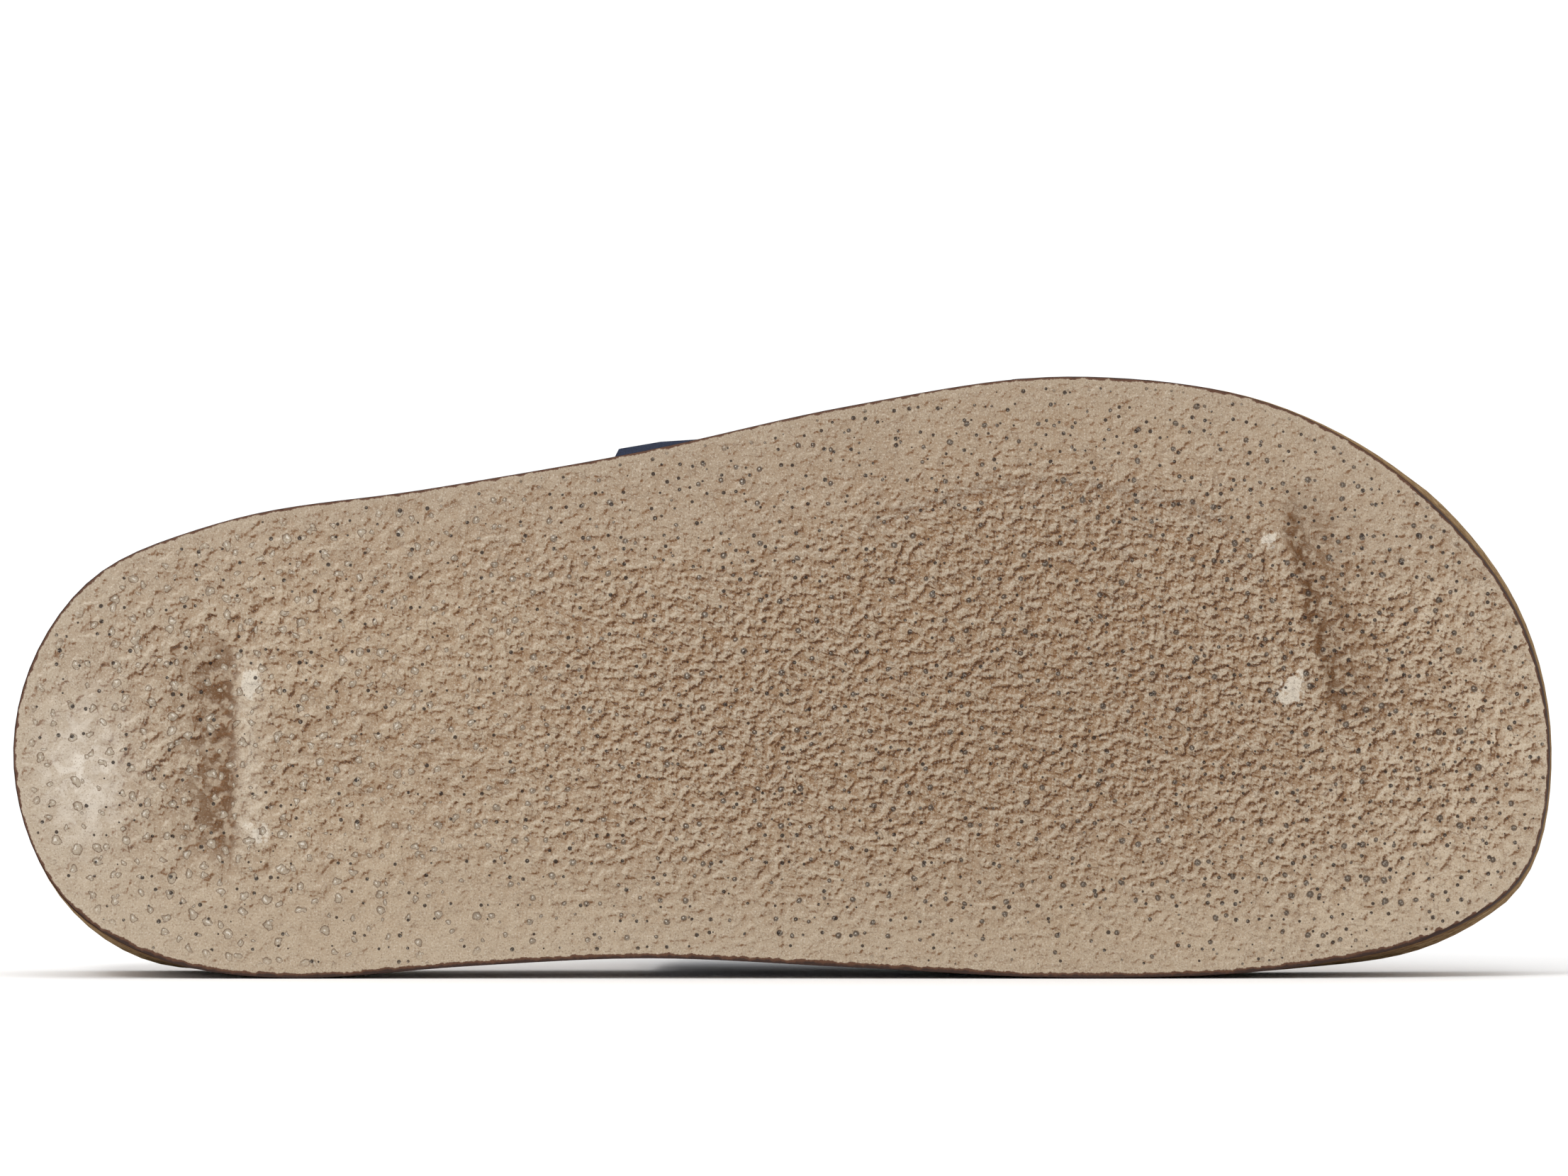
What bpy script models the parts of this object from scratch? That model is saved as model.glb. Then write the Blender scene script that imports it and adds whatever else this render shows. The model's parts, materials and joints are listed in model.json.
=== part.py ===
"""Double-buckle slide sandal for the right foot, lying on its inner side.

The sandal is shaped standing on its sole: +X runs from heel to toe, +Y to the inner side and +Z
up. It is then rolled onto its inner side until the sole's edge and the front strap both touch
the floor. Lengths are in metres.
"""
import math

import bmesh
import bpy
import numpy as np
from mathutils import Matrix, Vector

# Driving sizes of the foot and the sole, EU size 41
SOLE_LENGTH = 0.2720
BALL_WIDTH = 0.1070
HEEL_RIM = 0.034
OUTSOLE = 0.0065
TOE_SPRING = 0.007
HEEL_LIFT = 0.0012

# Clearance left between pieces that touch on the real sandal
GAP = 0.0003

# Leather, suede and wire
UPPER_THICK = 0.0020
MARGIN = 0.009
MARGIN_TURN = 0.0005
INSOLE_THICK = 0.0014
WIRE = 0.0012
PRONG_WIRE = 0.0009

# Sole edge: seen from above, as shares of sole length and ball width from the heel's back and
# the inner side; rim is the footbed's height there as a share of the heel's, and flare is how far
# the rim stands out past the outsole
OUTLINE = (
    # place, along, across, rim, flare
    ("heel back", 0.0000, 0.3860, 1.00, 0.0026),
    ("heel back inner", 0.0096, 0.2440, 1.00, 0.0030),
    ("heel turn inner", 0.0345, 0.1320, 0.99, 0.0034),
    ("heel corner inner", 0.0950, 0.0385, 0.98, 0.0033),
    ("heel curve inner", 0.1310, 0.0165, 0.97, 0.0008),
    ("heel side inner", 0.1694, 0.0075, 0.97, -0.0008),
    ("waist rear inner", 0.2910, 0.0263, 1.02, -0.0010),
    ("waist inner", 0.4090, 0.0404, 1.04, -0.0004),
    ("waist front inner", 0.5450, 0.0252, 0.92, -0.0006),
    ("ball inner", 0.7145, 0.0071, 0.76, -0.0005),
    ("toe side inner", 0.8435, 0.0290, 0.75, 0.0018),
    ("toe corner inner", 0.9280, 0.0790, 0.76, 0.0035),
    ("toe turn inner", 0.9810, 0.1650, 0.77, 0.0031),
    ("toe tip", 1.0000, 0.3480, 0.78, 0.0027),
    ("toe turn outer", 0.9815, 0.5950, 0.77, 0.0027),
    ("toe corner outer", 0.9220, 0.7920, 0.76, 0.0027),
    ("toe side outer", 0.8324, 0.9400, 0.75, 0.0015),
    ("ball outer", 0.6920, 1.0000, 0.75, 0.0003),
    ("waist front outer", 0.5450, 0.9520, 0.82, 0.0002),
    ("waist outer", 0.4070, 0.8750, 0.90, 0.0003),
    ("waist rear outer", 0.2690, 0.8136, 0.93, 0.0003),
    ("heel side outer", 0.1310, 0.7560, 0.96, 0.0006),
    ("heel turn outer", 0.0494, 0.6640, 0.98, 0.0012),
    ("heel back outer", 0.0096, 0.5120, 1.00, 0.0018),
)
TOE_ROW = 13
STATIONS = 46
SPINE_HEEL = 0.042
SPINE_TOE = 0.226
EDGE_BEVEL = 0.0007

# Rings of the footbed's top, from the rim inwards: a width for the lip, then shares of the way
# left to the spine
LIP_WIDTHS = (0.0010, 0.0034)
BED_SHARES = (0.12, 0.24, 0.38, 0.56, 0.86)
CUP_WIDTH = 0.024

# Along the foot: bed is the height of the footbed's middle above the sole's bottom, crown that of
# the foot's ridge, under the straps, above the floor it stands on, and swell how far the outer
# quarter leans out above the rim
LAST = (
    # along, bed, crown, swell
    (0.000, 0.0170, 0.1000, 0.32),
    (0.040, 0.0150, 0.1000, 0.32),
    (0.100, 0.0190, 0.0930, 0.32),
    (0.114, 0.0198, 0.0890, 0.33),
    (0.130, 0.0205, 0.0840, -0.06),
    (0.155, 0.0190, 0.0745, -0.07),
    (0.185, 0.0160, 0.0650, -0.14),
    (0.215, 0.0165, 0.0575, -0.14),
    (0.272, 0.0165, 0.0450, -0.14),
)
CROWN_SHARE = 0.43
INNER_LEAN = 0.118
INNER_RISE = 0.62
INNER_REACH = 0.60
OUTER_RISE = 0.44
OUTER_REACH = 0.62

# Edges of the upper along the foot. The way round the foot runs -3 to -2 over the lasting margin,
# to -1 round the footbed's corner, to 0 up its wall, then 0 to 1 over the foot to the other rim.
# Straps part at the notch; gap is the space between them there
INNER_QUARTER = (
    # way, back, middle, front, gap
    (0.00, 0.1120, 0.1600, 0.2075, 0.004),
    (0.14, 0.1128, 0.1603, 0.2095, 0.013),
    (0.30, 0.1138, 0.1602, 0.2098, 0.017),
    (0.40, 0.1148, 0.1594, 0.2070, 0.020),
    (0.47, 0.1166, 0.1574, 0.2000, 0.025),
    (0.53, 0.1180, 0.1560, 0.1940, 0.0272),
    (1.10, 0.1180, 0.1560, 0.1940, 0.0272),
)
OUTER_QUARTER = (
    # way, back, middle, front, gap
    (0.00, 0.1060, 0.1545, 0.2000, 0.012),
    (0.08, 0.1075, 0.1550, 0.1990, 0.020),
    (0.18, 0.1145, 0.1560, 0.1955, 0.027),
    (0.26, 0.1180, 0.1560, 0.1940, 0.0272),
    (0.60, 0.1180, 0.1560, 0.1940, 0.0272),
)
INNER_NOTCH = 0.10
OUTER_NOTCH = 0.05
NOTCH_ROUND = 0.07
STRAP_COLUMNS = 6

# Buckles: the bar's place round the foot, and lengths along the strap from it
STRAPS = (
    # name, middle of the strap along the foot, way round to the bar
    ("rear", 0.1300, 0.700),
    ("front", 0.1820, 0.695),
)
FRAME_LENGTH = 0.0205
FRAME_INSIDE = 0.0262
FAR_CORNER = 0.0042
BAR_CORNER = 0.0014
CURL_RADIUS = WIRE + GAP + UPPER_THICK
CURL_TURN = math.radians(262)
STRAP_RISE = 0.026
STRAP_FALL = 0.014
STRAP_TIP = 0.034
TIP_ROUND = 0.012
FLAT_ABOVE = (0.022, 0.042)
FLAT_BELOW = (0.010, 0.026)
PRONG_SLOT = 0.0052
PRONG_PAST = 0.0016
HOLE_RADIUS = 0.0019
HOLE_PLACES = (0.030, 0.040, -0.013, -0.022)

MEDIAL = 1
LATERAL = -1


def clear_scene():
    for old in list(bpy.data.objects):
        bpy.data.objects.remove(old, do_unlink=True)


def material(name, colour, roughness, metallic=0.0):
    made = bpy.data.materials.new(name)
    made.use_nodes = True
    shader = made.node_tree.nodes["Principled BSDF"]
    shader.inputs["Base Color"].default_value = (*colour, 1.0)
    shader.inputs["Roughness"].default_value = roughness
    shader.inputs["Metallic"].default_value = metallic
    made.diffuse_color = (*colour, 1.0)
    return made


def hermite(knots, rows, at):
    """Rows of values at rising knots, joined by a smooth curve and read at the places in at."""
    knots = np.asarray(knots, float)
    rows = np.asarray(rows, float)
    at = np.clip(np.atleast_1d(np.asarray(at, float)), knots[0], knots[-1])
    slopes = np.gradient(rows, knots, axis=0)
    i = np.clip(np.searchsorted(knots, at, side="right") - 1, 0, len(knots) - 2)
    width = (knots[i + 1] - knots[i])[:, None]
    t = (at - knots[i])[:, None] / width
    start = (2 * t**3 - 3 * t**2 + 1) * rows[i] + (t**3 - 2 * t**2 + t) * width * slopes[i]
    end = (3 * t**2 - 2 * t**3) * rows[i + 1] + (t**3 - t**2) * width * slopes[i + 1]
    return start + end


def ease(share):
    share = min(max(share, 0.0), 1.0)
    return share * share * (3 - 2 * share)


def lift(x):
    """Height of the sole's bottom above the floor it stands on: toe spring and heel lift."""
    toe = np.clip((np.asarray(x, float) - 0.70 * SOLE_LENGTH) / (0.30 * SOLE_LENGTH), 0, None)
    heel = np.clip(1 - np.asarray(x, float) / (0.07 * SOLE_LENGTH), 0, None)
    return TOE_SPRING * toe**2 + HEEL_LIFT * heel**2


def sole_edge():
    """Closed loop round the sole, from the heel's back along the inner side to the toe and back.

    Columns: x, y, rim height, rim flare.
    """
    table = np.array([
        (along * SOLE_LENGTH, -across * BALL_WIDTH, rim * HEEL_RIM, flare)
        for _, along, across, rim, flare in OUTLINE
    ])
    wrapped = np.vstack([table[-3:], table, table[:4]])
    steps = np.linalg.norm(np.diff(wrapped[:, :2], axis=0), axis=1)
    knots = np.concatenate([[0.0], np.cumsum(steps)])
    heel, toe, end = knots[3], knots[3 + TOE_ROW], knots[3 + len(table)]
    inner = hermite(knots, wrapped, np.linspace(heel, toe, STATIONS + 1))
    outer = hermite(knots, wrapped, np.linspace(toe, end, STATIONS + 1))
    return np.vstack([inner, outer[1:-1]])


EDGE = sole_edge()
TANGENT = np.roll(EDGE[:, :2], -1, axis=0) - np.roll(EDGE[:, :2], 1, axis=0)
OUTWARD = np.column_stack([-TANGENT[:, 1], TANGENT[:, 0]])
OUTWARD /= np.linalg.norm(OUTWARD, axis=1)[:, None]
INNER_SIDE = EDGE[:STATIONS + 1]
OUTER_SIDE = np.vstack([EDGE[:1], EDGE[:STATIONS - 1:-1]])


def side_at(x, side):
    """Sole edge on one side at a place along the foot: y, rim height, flare."""
    rows = INNER_SIDE if side == MEDIAL else OUTER_SIDE
    return [float(np.interp(x, rows[:, 0], rows[:, column])) for column in (1, 2, 3)]


def to_spine(flat):
    """Vectors from points of a loop round the sole to the sole's spine."""
    x = np.clip(flat[:, 0], SPINE_HEEL, SPINE_TOE)
    y = 0.5 * np.interp(x, INNER_SIDE[:, 0], INNER_SIDE[:, 1])
    y += 0.5 * np.interp(x, OUTER_SIDE[:, 0], OUTER_SIDE[:, 1])
    return np.column_stack([x, y]) - flat


def edge_loop(height, outset=0.0):
    """Loop round the sole at a height above its bottom, leaning with the footbed's wall."""
    lean = EDGE[:, 3] * height / EDGE[:, 2] + outset
    flat = EDGE[:, :2] + OUTWARD * lean[:, None]
    return np.column_stack([flat, lift(flat[:, 0]) + height])


def inner_loop(height, share, outset=0.0):
    """Loop a share of the way in from the sole's edge to its spine, at one height."""
    flat = edge_loop(height, outset)[:, :2]
    flat = flat + to_spine(flat) * share
    return np.column_stack([flat, lift(flat[:, 0]) + height])


def bed_loops():
    """Loops over the footbed's top, from the lip to the middle."""
    rim = EDGE[:, 2]
    edge = edge_loop(rim)[:, :2]
    reach = to_spine(edge)
    length = np.linalg.norm(reach, axis=1)
    insets = [np.full(len(edge), width) for width in LIP_WIDTHS]
    insets += [LIP_WIDTHS[-1] + share * (length - LIP_WIDTHS[-1]) for share in BED_SHARES]
    loops = []
    for inset in insets:
        flat = edge + reach * (inset / length)[:, None]
        bed = hermite([row[0] for row in LAST], [[row[1]] for row in LAST], flat[:, 0])[:, 0]
        down = np.clip((inset - LIP_WIDTHS[0]) / CUP_WIDTH, 0, 1)
        cup = 1 - down**1.15 * (2.15 - 1.15 * down)
        height = bed + (rim - bed) * cup
        loops.append(np.column_stack([flat, lift(flat[:, 0]) + height]))
    return loops


def mesh_of(name, bm, closed=False):
    """Finished mesh of the faces made so far, facing out if they close a body."""
    if closed:
        bm.normal_update()
        bmesh.ops.recalc_face_normals(bm, faces=bm.faces)
    mesh = bpy.data.meshes.new(name)
    bm.to_mesh(mesh)
    bm.free()
    return mesh


def add_object(name, mesh, look):
    made = bpy.data.objects.new(name, mesh)
    bpy.context.scene.collection.objects.link(made)
    made.data.materials.append(look)
    return made


def mesh_of_loops(name, loops, capped):
    """Loops round the sole joined in turn; the last one, and the first if capped, closed across."""
    bm = bmesh.new()
    count = len(loops[0])
    half = count // 2
    rings = [[bm.verts.new(point) for point in loop] for loop in loops]
    for low, high in zip(rings, rings[1:]):
        for j in range(count):
            k = (j + 1) % count
            bm.faces.new((low[j], low[k], high[k], high[j]))
    for ring in (rings[0], rings[-1]) if capped else (rings[-1],):
        bm.faces.new((ring[0], ring[1], ring[-1]))
        for j in range(1, half - 1):
            bm.faces.new((ring[j], ring[j + 1], ring[count - j - 1], ring[count - j]))
        bm.faces.new((ring[half - 1], ring[half], ring[half + 1]))
    return mesh_of(name, bm, closed=capped)


def wall(x, side, height=None):
    """Point (y, z) of the leather's inside on the footbed's wall, at the rim if no height is given."""
    y, rim, flare = side_at(x, side)
    height = rim if height is None else height
    out = flare * height / rim - UPPER_THICK
    return y + side * out, height + float(lift(x))


def arch(x, way):
    """Point (y, z) over the foot at a place along it, from the inner rim (0) to the outer (1)."""
    crown, swell = hermite([row[0] for row in LAST], [row[2:] for row in LAST], x)[0]
    inner, outer = Vector(wall(x, MEDIAL)), Vector(wall(x, LATERAL))
    top = Vector((inner.x + CROWN_SHARE * (outer.x - inner.x), float(crown)))
    if way <= 0.5:
        start, lean, rise, reach = inner, INNER_LEAN, INNER_RISE, INNER_REACH
        t = way * 2
    else:
        start, lean, rise, reach = outer, -float(swell), OUTER_RISE, OUTER_REACH
        t = (1 - way) * 2
    climb = rise * (top.y - start.y)
    first = start + Vector((lean * climb, climb))
    second = Vector((top.x + reach * (start.x - top.x), top.y))
    one = 1 - t
    return start * one**3 + first * 3 * t * one**2 + second * 3 * t**2 * one + top * t**3


def upper_point(x, way, side):
    """Point on the upper's inside, from the lasting margin up one wall and over the foot."""
    if way >= 0:
        y, z = arch(x, way if side == MEDIAL else 1 - way)
        return Vector((x, y, z))
    floor = OUTSOLE + GAP + UPPER_THICK
    rim = side_at(x, side)[1]
    if way >= -1:
        height = floor + MARGIN_TURN + (rim - floor - MARGIN_TURN) * (way + 1)
        y, z = wall(x, side, height)
    elif way >= -2:
        turn = (way + 2) * math.pi / 2
        y, z = wall(x, side, floor + MARGIN_TURN)
        y -= side * MARGIN_TURN * (1 - math.sin(turn))
        z -= MARGIN_TURN * math.cos(turn)
    else:
        y, z = wall(x, side, floor + MARGIN_TURN)
        y -= side * (MARGIN_TURN + (MARGIN - MARGIN_TURN) * (-2 - way))
        z -= MARGIN_TURN
    return Vector((x, y, z))


class Strap:
    """One strap's way round the foot, measured along its middle, and its buckle's own axes."""

    def __init__(self, name, middle, bar_way):
        self.name = name
        self.middle = middle
        self.ways = np.linspace(0, 1, 401)
        line = np.array([arch(middle, way) for way in self.ways])
        steps = np.linalg.norm(np.diff(line, axis=0), axis=1)
        self.lengths = np.concatenate([[0.0], np.cumsum(steps)])
        self.bar_length = self.length_at(bar_way)
        self.bar_way = bar_way
        self.up = (self.free(middle, bar_way - 0.01) - self.free(middle, bar_way + 0.01)).normalized()
        along = self.free(middle + 0.012, bar_way) - self.free(middle - 0.012, bar_way)
        self.out = along.cross(self.up).normalized()
        self.across = self.up.cross(self.out)
        self.bar = self.free(middle, bar_way) + self.out * CURL_RADIUS

    def free(self, x, way):
        return upper_point(x, way, MEDIAL)

    def length_at(self, way):
        return float(np.interp(way, self.ways, self.lengths))

    def way_at(self, above_bar):
        """Way round the foot at a length above the bar, towards the crown."""
        return float(np.interp(self.bar_length - above_bar, self.lengths, self.ways))

    def above_bar(self, way):
        return self.bar_length - self.length_at(way)

    def surface(self, x, way):
        """Foot's surface under the strap, made straight from side to side near the bar."""
        point = self.free(x, way)
        above = self.above_bar(way)
        near, far = FLAT_ABOVE if above > 0 else FLAT_BELOW
        flat = ease((far - abs(above)) / (far - near))
        if way < 0 or flat <= 0:
            return point
        straight = self.free(self.middle, way) + self.across * ((x - self.middle) / self.across.x)
        return point.lerp(straight, flat)

    def normal(self, x, way):
        along = self.surface(x + 0.001, way) - self.surface(x - 0.001, way)
        over = self.surface(x, way + 0.004) - self.surface(x, way - 0.004)
        return over.cross(along).normalized()

    def strap_point(self, x, way):
        """Inside of the long strap: on the foot, up over the rolled tab, then down onto it."""
        point = self.surface(x, way)
        above = self.above_bar(way)
        over_bar = 2 * CURL_RADIUS + GAP
        over_tab = UPPER_THICK + GAP
        if above >= STRAP_RISE or way < 0.02:
            return point
        if above >= 0:
            stand = over_bar * ease(1 - above / STRAP_RISE)
        else:
            stand = over_tab + (over_bar - over_tab) * ease(1 + above / STRAP_FALL)
        return point + self.normal(x, way) * stand

    def local(self, up, out, across=0.0):
        """Point in the buckle's own axes, measured from the middle of the bar."""
        return self.bar + self.up * up + self.out * out + self.across * across


def quarter_row(table, notch, way):
    """Edges of the two straps at a place round the foot: rear back, rear front, front back, front.

    Below the rim the quarter keeps its width.
    """
    back, middle, front, gap = hermite([row[0] for row in table], [row[1:] for row in table], way)[0]
    share = min(max((way - notch) / NOTCH_ROUND, 0), 1)
    half = 0.5 * gap * math.sqrt(1 - (1 - share)**2)
    return back, middle - half, middle + half, front


def sheet(name, rows, joined, look):
    """Leather sheet from rows of points for two straps, joined side by side in the first rows.

    Its inside is the given surface; the leather's thickness lies outside it.
    """
    bm = bmesh.new()
    first = [[bm.verts.new(point) for point in row] for row in rows[0]]
    second = []
    for i, row in enumerate(rows[1]):
        shared = [first[i][-1]] if i < joined else [bm.verts.new(row[0])]
        second.append(shared + [bm.verts.new(point) for point in row[1:]])
    for strap in (first, second):
        for low, high in zip(strap, strap[1:]):
            for j in range(len(low) - 1):
                bm.faces.new((low[j], high[j], high[j + 1], low[j + 1]))
    made = add_object(name, mesh_of(name, bm), look)
    wall_of = made.modifiers.new("Thickness", "SOLIDIFY")
    wall_of.thickness = UPPER_THICK
    wall_of.offset = 1.0
    wall_of.use_even_offset = True
    return made


def strap_line(point_at, back, front):
    return [point_at(back + (front - back) * j / STRAP_COLUMNS) for j in range(STRAP_COLUMNS + 1)]


COMMON_WAYS = (-3.0, -2.4, -2.0, -1.5, -1.0, -0.6, -0.2)


def inner_upper(straps, look):
    """Inner quarter with its two long straps, each ending past its buckle in a rounded tip."""
    joined_ways = [*COMMON_WAYS, 0.0, 0.05, INNER_NOTCH]
    rows = []
    for index, strap in enumerate(straps):
        top = strap.length_at(INNER_NOTCH)
        tip = strap.bar_length + STRAP_TIP
        round_rows = [top + 0.0008, top + 0.0025, top + 0.0055, top + 0.0095]
        even_rows = np.linspace(top + 0.014, strap.bar_length - STRAP_RISE, 13)
        bar_rows = np.linspace(strap.bar_length - STRAP_RISE, tip - TIP_ROUND, 18)[1:]
        tip_rows = [tip - TIP_ROUND * share for share in (0.6, 0.3, 0.12, 0.0)]
        lengths = [*round_rows, *even_rows, *bar_rows, *tip_rows]
        ways = joined_ways + [float(np.interp(length, strap.lengths, strap.ways)) for length in lengths]
        lines = []
        for way in ways:
            edges = quarter_row(INNER_QUARTER, INNER_NOTCH, max(way, 0))
            back, front = edges[2 * index:2 * index + 2]
            left = tip - strap.length_at(max(way, 0))
            if left < TIP_ROUND:
                share = math.sqrt(1 - 0.94 * (1 - left / TIP_ROUND)**2)
                middle = 0.5 * (back + front)
                back, front = middle + (back - middle) * share, middle + (front - middle) * share
            if way < 0:
                lines.append(strap_line(lambda x: upper_point(x, way, MEDIAL), back, front))
            else:
                lines.append(strap_line(lambda x: strap.strap_point(x, way), back, front))
        rows.append(lines)
    return sheet("upper_medial", rows, len(joined_ways), look)


def outer_upper(straps, look):
    """Outer quarter with two tabs, each rolled outwards round its buckle's bar."""
    joined_ways = [*COMMON_WAYS, 0.0, OUTER_NOTCH]
    rows = []
    for index, strap in enumerate(straps):
        bar_way = 1 - strap.bar_way
        round_ways = [OUTER_NOTCH + NOTCH_ROUND * share for share in (0.06, 0.2, 0.5, 0.9)]
        ways = joined_ways + round_ways + list(np.linspace(OUTER_NOTCH + 1.25 * NOTCH_ROUND, bar_way, 8))
        lines = []
        for way in ways:
            edges = quarter_row(OUTER_QUARTER, OUTER_NOTCH, max(way, 0))
            back, front = edges[2 * index:2 * index + 2]
            if way < 0:
                lines.append(strap_line(lambda x: upper_point(x, way, LATERAL), back, front))
            else:
                lines.append(strap_line(lambda x: strap.surface(x, 1 - way), back, front))
        for step in range(1, 11):
            turn = CURL_TURN * step / 10
            up = CURL_RADIUS * math.sin(turn)
            out = -CURL_RADIUS * math.cos(turn)
            lines.append(strap_line(
                lambda x: strap.local(up, out, (x - strap.middle) / strap.across.x), back, front))
        rows.append([line[::-1] for line in lines])
    return sheet("upper_lateral", rows[::-1], len(joined_ways), look)


def cutter(name, mesh):
    made = bpy.data.objects.new(name, mesh)
    bpy.context.scene.collection.objects.link(made)
    made.hide_render = True
    made.display_type = "WIRE"
    return made


def cut(target, tool):
    step = target.modifiers.new(tool.name, "BOOLEAN")
    step.operation = "DIFFERENCE"
    step.solver = "EXACT"
    step.object = tool


def seat_cutter(side, quarter):
    """Room in the footbed for the leather: down its wall and under its bottom edge."""
    first = quarter[0][1] - 0.0006
    last = quarter[0][3] + 0.0006
    roof = OUTSOLE + 2 * GAP + UPPER_THICK
    bm = bmesh.new()
    rings = []
    for x in np.linspace(first, last, 24):
        y, rim, flare = side_at(x, side)
        corners = (
            (flare * 1.3 + 0.008, rim * 1.3),
            (flare * 1.3 - UPPER_THICK - GAP, rim * 1.3),
            (flare * roof / rim - UPPER_THICK - GAP, roof),
            (-UPPER_THICK - GAP - MARGIN, roof),
            (-UPPER_THICK - GAP - MARGIN, OUTSOLE - 0.001),
            (0.008, OUTSOLE - 0.001),
        )
        base = float(lift(x))
        rings.append([bm.verts.new((x, y + side * out, base + up)) for out, up in corners])
    for low, high in zip(rings, rings[1:]):
        for j in range(len(low)):
            k = (j + 1) % len(low)
            bm.faces.new((low[j], low[k], high[k], high[j]))
    bm.faces.new(rings[0])
    bm.faces.new(rings[-1])
    name = "seat_inner" if side == MEDIAL else "seat_outer"
    return cutter(name, mesh_of(name, bm, closed=True))


def tube(name, points, radius, closed):
    """Round wire along a line of points."""
    curve = bpy.data.curves.new(name, "CURVE")
    curve.dimensions = "3D"
    curve.bevel_depth = radius
    curve.bevel_resolution = 2
    curve.use_fill_caps = True
    spline = curve.splines.new("POLY")
    spline.points.add(len(points) - 1)
    for place, point in zip(spline.points, points):
        place.co = (*point, 1.0)
    spline.use_cyclic_u = closed
    wire = bpy.data.objects.new(name + "_line", curve)
    bpy.context.scene.collection.objects.link(wire)
    view = bpy.context.evaluated_depsgraph_get()
    round_wire = bpy.data.meshes.new_from_object(wire.evaluated_get(view))
    bpy.data.objects.remove(wire, do_unlink=True)
    bm = bmesh.new()
    bm.from_mesh(round_wire)
    bmesh.ops.remove_doubles(bm, verts=bm.verts, dist=0.00001)
    return mesh_of(name, bm, closed=True)


def outer_bar(strap):
    """Place (up, out) of the frame's far bar, just clear of the strap that passes under it."""
    top = -1.0
    for above in np.linspace(FRAME_LENGTH - 2 * WIRE, FRAME_LENGTH + WIRE, 7):
        way = strap.way_at(above)
        for x in (strap.middle - 0.012, strap.middle, strap.middle + 0.012):
            point = strap.strap_point(x, way) + strap.normal(x, way) * UPPER_THICK
            top = max(top, (point - strap.bar).dot(strap.out))
    return FRAME_LENGTH, top + GAP + WIRE


def frame_points(strap):
    """Rounded rectangle from the bar to the far bar."""
    up, out = outer_bar(strap)
    half = 0.5 * FRAME_INSIDE + WIRE
    points = []
    corners = ((BAR_CORNER, half, 0), (up - FAR_CORNER, half, 1),
               (up - FAR_CORNER, -half, 2), (BAR_CORNER, -half, 3))
    for middle_up, across, turn in corners:
        radius = BAR_CORNER if turn in (0, 3) else FAR_CORNER
        middle_across = across - math.copysign(radius, across)
        for step in range(6):
            angle = math.pi / 2 * (step / 5 + turn) + math.pi
            a_up = middle_up + radius * math.cos(angle)
            a_across = middle_across - radius * math.sin(angle)
            points.append(strap.local(a_up, out * a_up / up, a_across))
    return points


def prong_points(strap):
    """Hook round the bar, then straight up to rest on the far bar."""
    up, out = outer_bar(strap)
    radius = WIRE + GAP + PRONG_WIRE
    points = []
    for step in range(13):
        angle = math.radians(285 - 195 * step / 12)
        points.append(strap.local(radius * math.cos(angle), radius * math.sin(angle)))
    rest = out + WIRE + GAP + PRONG_WIRE
    points.append(strap.local(up + WIRE + PRONG_PAST, rest))
    return points


def box_cutter(name, strap, low, high):
    """Box in the buckle's own axes, between two corners given as (up, out, across)."""
    bm = bmesh.new()
    bmesh.ops.create_cube(bm, size=1.0)
    size = [high[i] - low[i] for i in range(3)]
    middle = [0.5 * (high[i] + low[i]) for i in range(3)]
    for vert in bm.verts:
        vert.co = strap.local(*[middle[i] + size[i] * vert.co[i] for i in range(3)])
    return cutter(name, mesh_of(name, bm, closed=True))


def hole_cutter(name, strap, above):
    """Round punch through the long strap at a length above the bar."""
    way = strap.way_at(above)
    point = strap.strap_point(strap.middle, way)
    step = 0.004
    over = strap.strap_point(strap.middle, way - step) - strap.strap_point(strap.middle, way + step)
    out = over.cross(strap.across).normalized()
    if out.dot(strap.out) < 0:
        out = -out
    turn = out.to_track_quat("Z", "X").to_matrix().to_4x4()
    place = Matrix.Translation(point + out * 0.5 * UPPER_THICK) @ turn
    bm = bmesh.new()
    bmesh.ops.create_cone(bm, cap_ends=True, segments=14, radius1=HOLE_RADIUS, radius2=HOLE_RADIUS,
                          depth=2 * UPPER_THICK, matrix=place)
    return cutter(name, mesh_of(name, bm, closed=True))


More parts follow.
